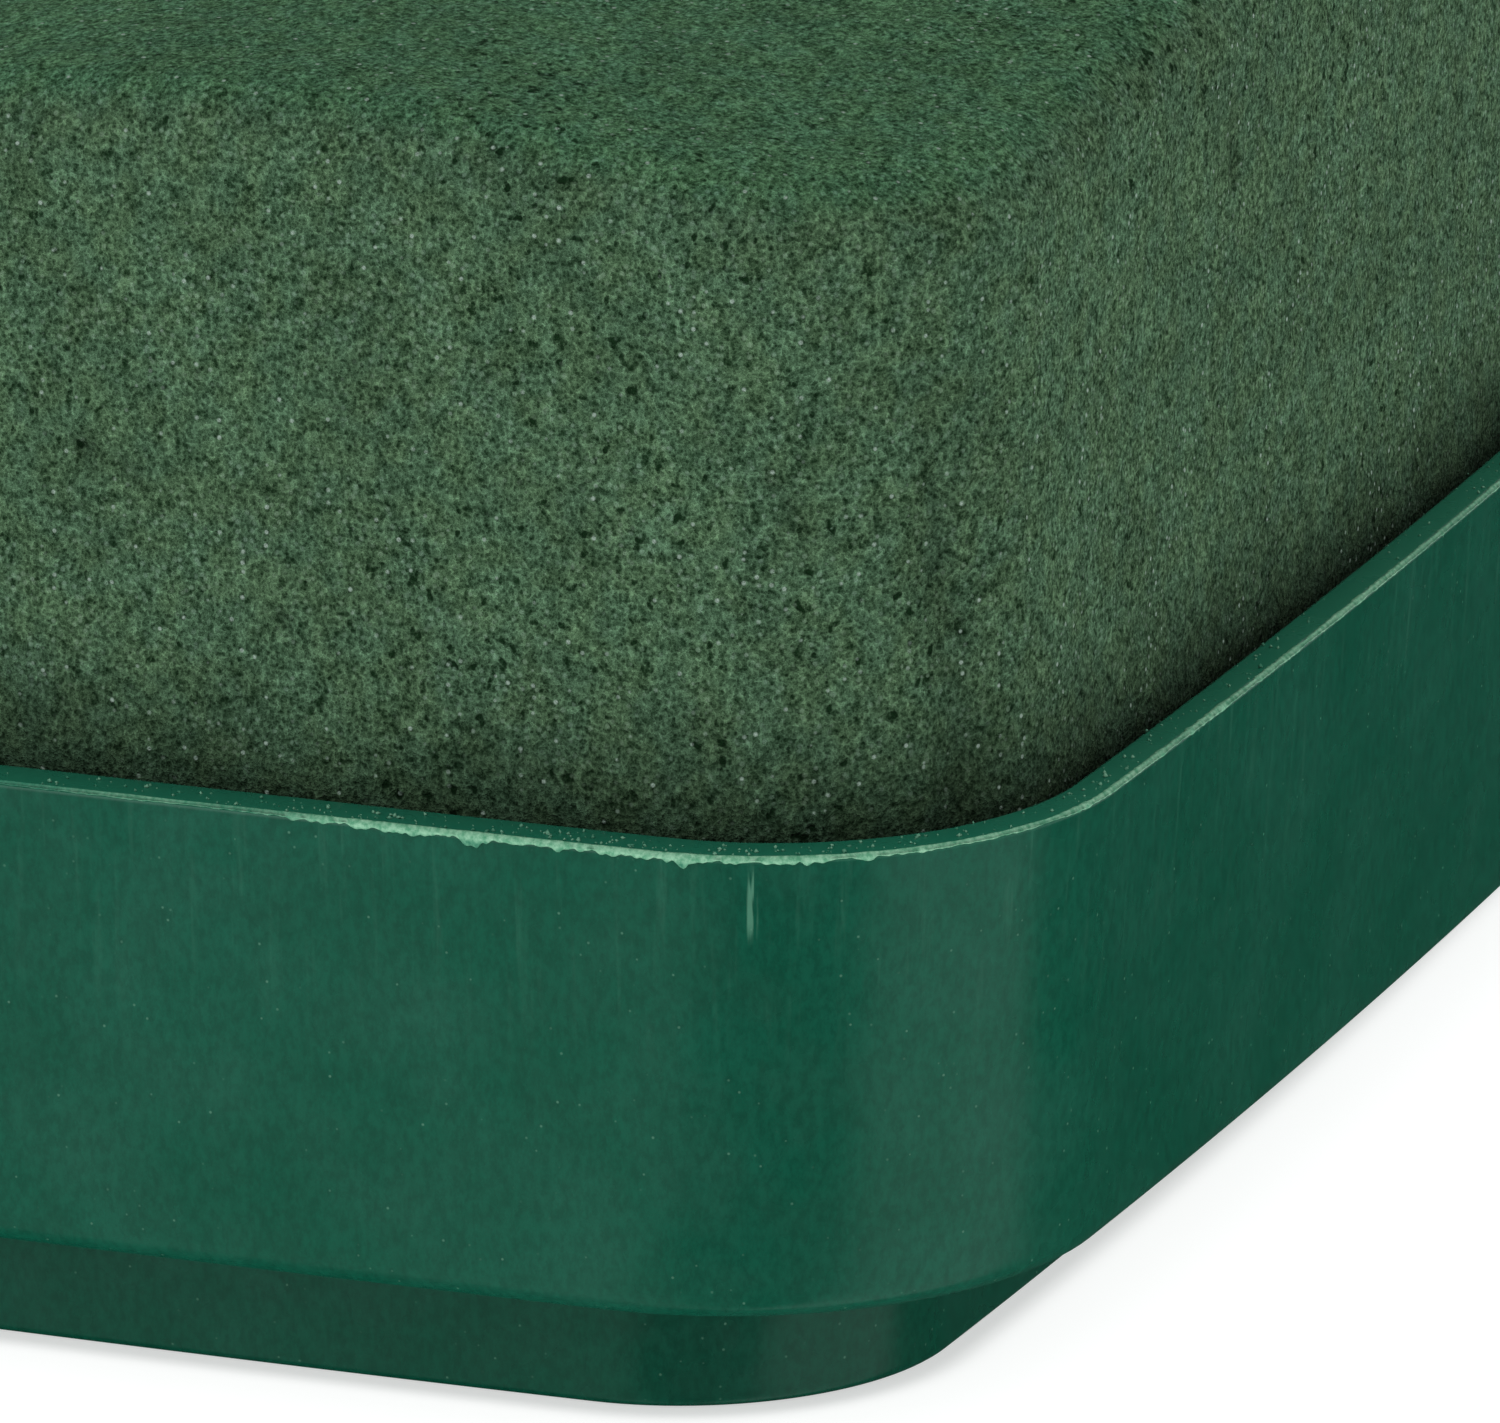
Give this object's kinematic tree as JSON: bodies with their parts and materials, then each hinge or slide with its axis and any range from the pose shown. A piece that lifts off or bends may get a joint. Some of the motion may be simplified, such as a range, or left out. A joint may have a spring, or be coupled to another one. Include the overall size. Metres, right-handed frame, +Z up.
{
  "type": "floral foam brick in a tray",
  "caption": "Rectangular block of dense floral foam with soft rounded edges, pushed on to prongs in a shallow plastic tray that has a stepped foot; the foam lifts out to be soaked or replaced.",
  "frame": {"origin": "centre of the tray's base, on the surface it stands on", "axes": "+X along the brick's length, -Y towards the front long side, +Z up"},
  "size_m": [0.2386, 0.118, 0.0936],
  "materials": {
    "foam": "matte",
    "tray_plastic": "satin"
  },
  "bodies": {
    "tray": {"tray": "tray_plastic"},
    "foam": {"foam_block": "foam"}
  },
  "joints": [
    {"name": "foam_lift", "type": "slide", "parent": "tray", "child": "foam", "axis": [0, 0, 1], "range_m": [0, 0.06]}
  ]
}
